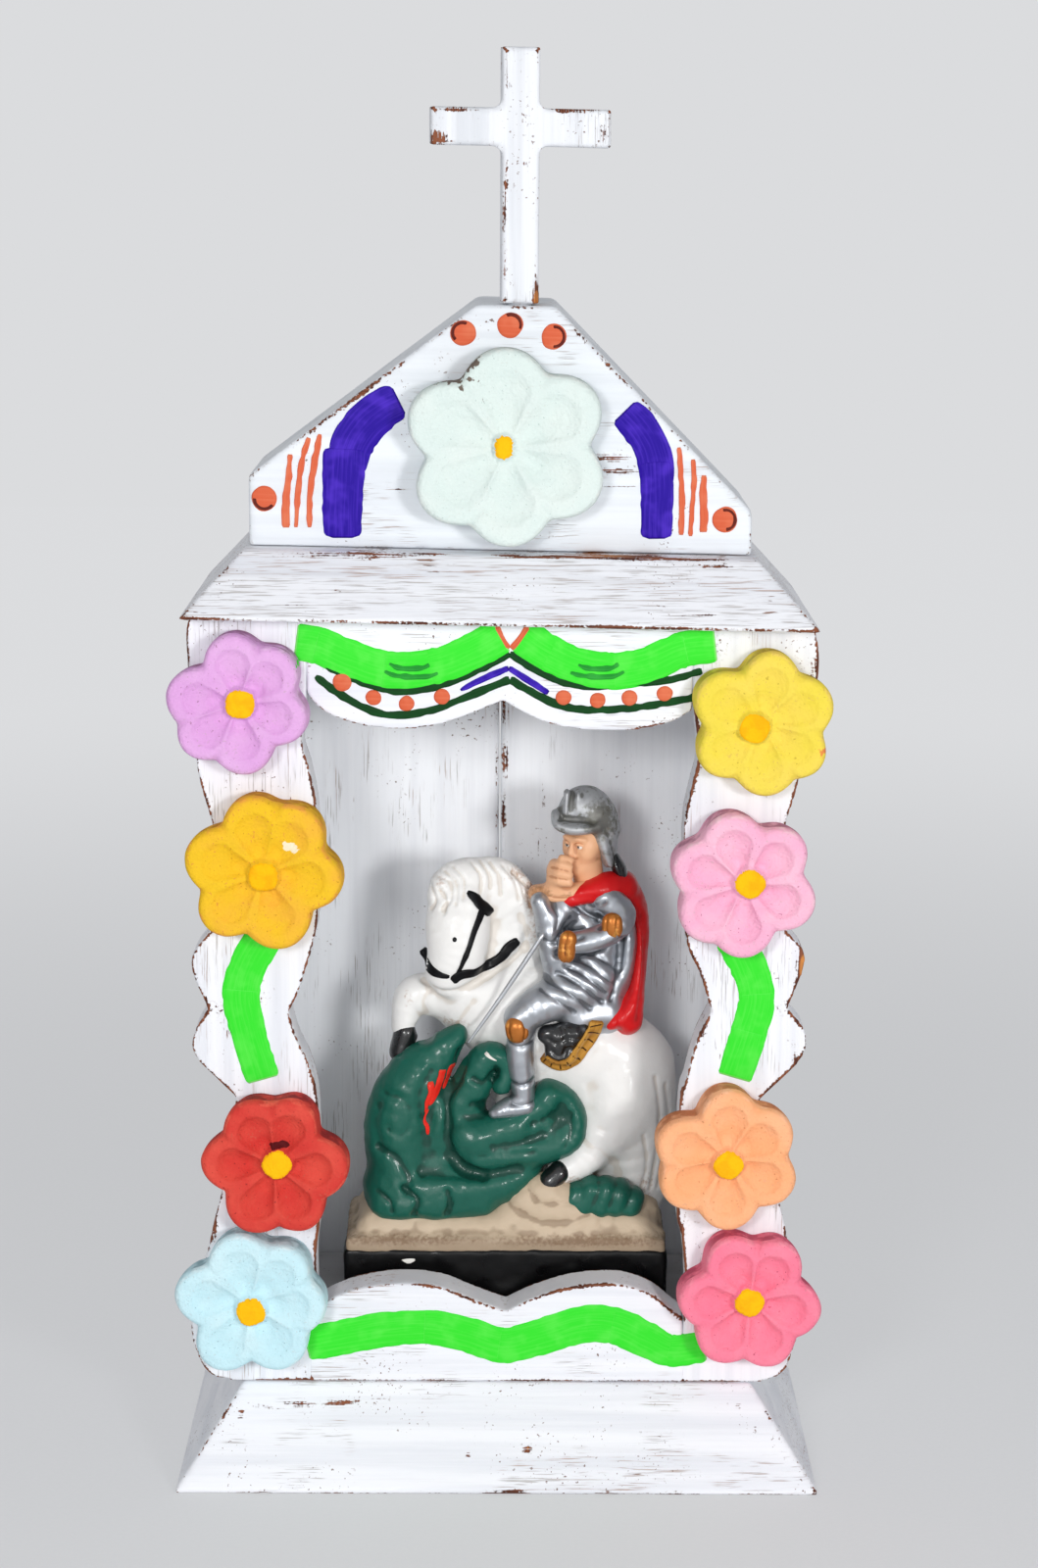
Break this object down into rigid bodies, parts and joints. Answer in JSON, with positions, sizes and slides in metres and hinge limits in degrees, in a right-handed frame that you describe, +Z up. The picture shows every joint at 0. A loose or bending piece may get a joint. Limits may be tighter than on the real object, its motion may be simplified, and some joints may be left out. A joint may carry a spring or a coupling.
{
  "type": "wooden chapel shrine",
  "caption": "Small free-standing wooden shrine with a scalloped front, modelled flowers, a gable with a cross, and a cast horseman and dragon that lifts out of its niche.",
  "frame": {"origin": "under the middle of the plinth, on the surface that it stands on", "axes": "+Z up, the open front towards -Y, +X to the right seen from the front"},
  "size_m": [0.2281, 0.118, 0.5],
  "materials": {
    "white_painted_wood": "brushed white paint, worn at the edges",
    "grey_painted_wood": "thin white paint over brown wood",
    "nail_steel": "dull wire nail",
    "flower_white_paint": "matt paint on modelled clay",
    "flower_violet_paint": "matt paint on modelled clay",
    "flower_amber_paint": "matt paint on modelled clay",
    "flower_red_paint": "matt paint on modelled clay",
    "flower_sky_paint": "matt paint on modelled clay",
    "flower_yellow_paint": "matt paint on modelled clay",
    "flower_rose_paint": "matt paint on modelled clay",
    "flower_peach_paint": "matt paint on modelled clay",
    "flower_coral_paint": "matt paint on modelled clay",
    "painted_plaster": "semi-gloss paint on cast plaster",
    "silver_rod": "silver painted wire"
  },
  "bodies": {
    "shrine": {"plinth": "white_painted_wood", "stile_left": "white_painted_wood", "stile_right": "white_painted_wood", "rail": "white_painted_wood", "valance": "white_painted_wood", "cornice": "white_painted_wood", "pediment": "white_painted_wood", "cross_upright": "white_painted_wood", "cross_arm": "white_painted_wood", "floor_board": "grey_painted_wood", "ceiling_board": "grey_painted_wood", "side_board_left": "grey_painted_wood", "side_board_right": "grey_painted_wood", "back_board_left": "grey_painted_wood", "back_board_right": "grey_painted_wood", "back_nail_left_1": "nail_steel", "back_nail_right_1": "nail_steel", "back_nail_left_2": "nail_steel", "back_nail_right_2": "nail_steel", "back_nail_left_3": "nail_steel", "back_nail_right_3": "nail_steel", "back_nail_left_4": "nail_steel", "back_nail_right_4": "nail_steel", "flower_white": "flower_white_paint", "flower_violet": "flower_violet_paint", "flower_amber": "flower_amber_paint", "flower_red": "flower_red_paint", "flower_sky": "flower_sky_paint", "flower_yellow": "flower_yellow_paint", "flower_rose": "flower_rose_paint", "flower_peach": "flower_peach_paint", "flower_coral": "flower_coral_paint"},
    "figurine": {"figurine": "painted_plaster", "lance": "silver_rod"}
  },
  "joints": [
    {"name": "figurine_lift", "type": "slide", "parent": "shrine", "child": "figurine", "axis": [0, 0, 1], "range_m": [0, 0.022]}
  ]
}
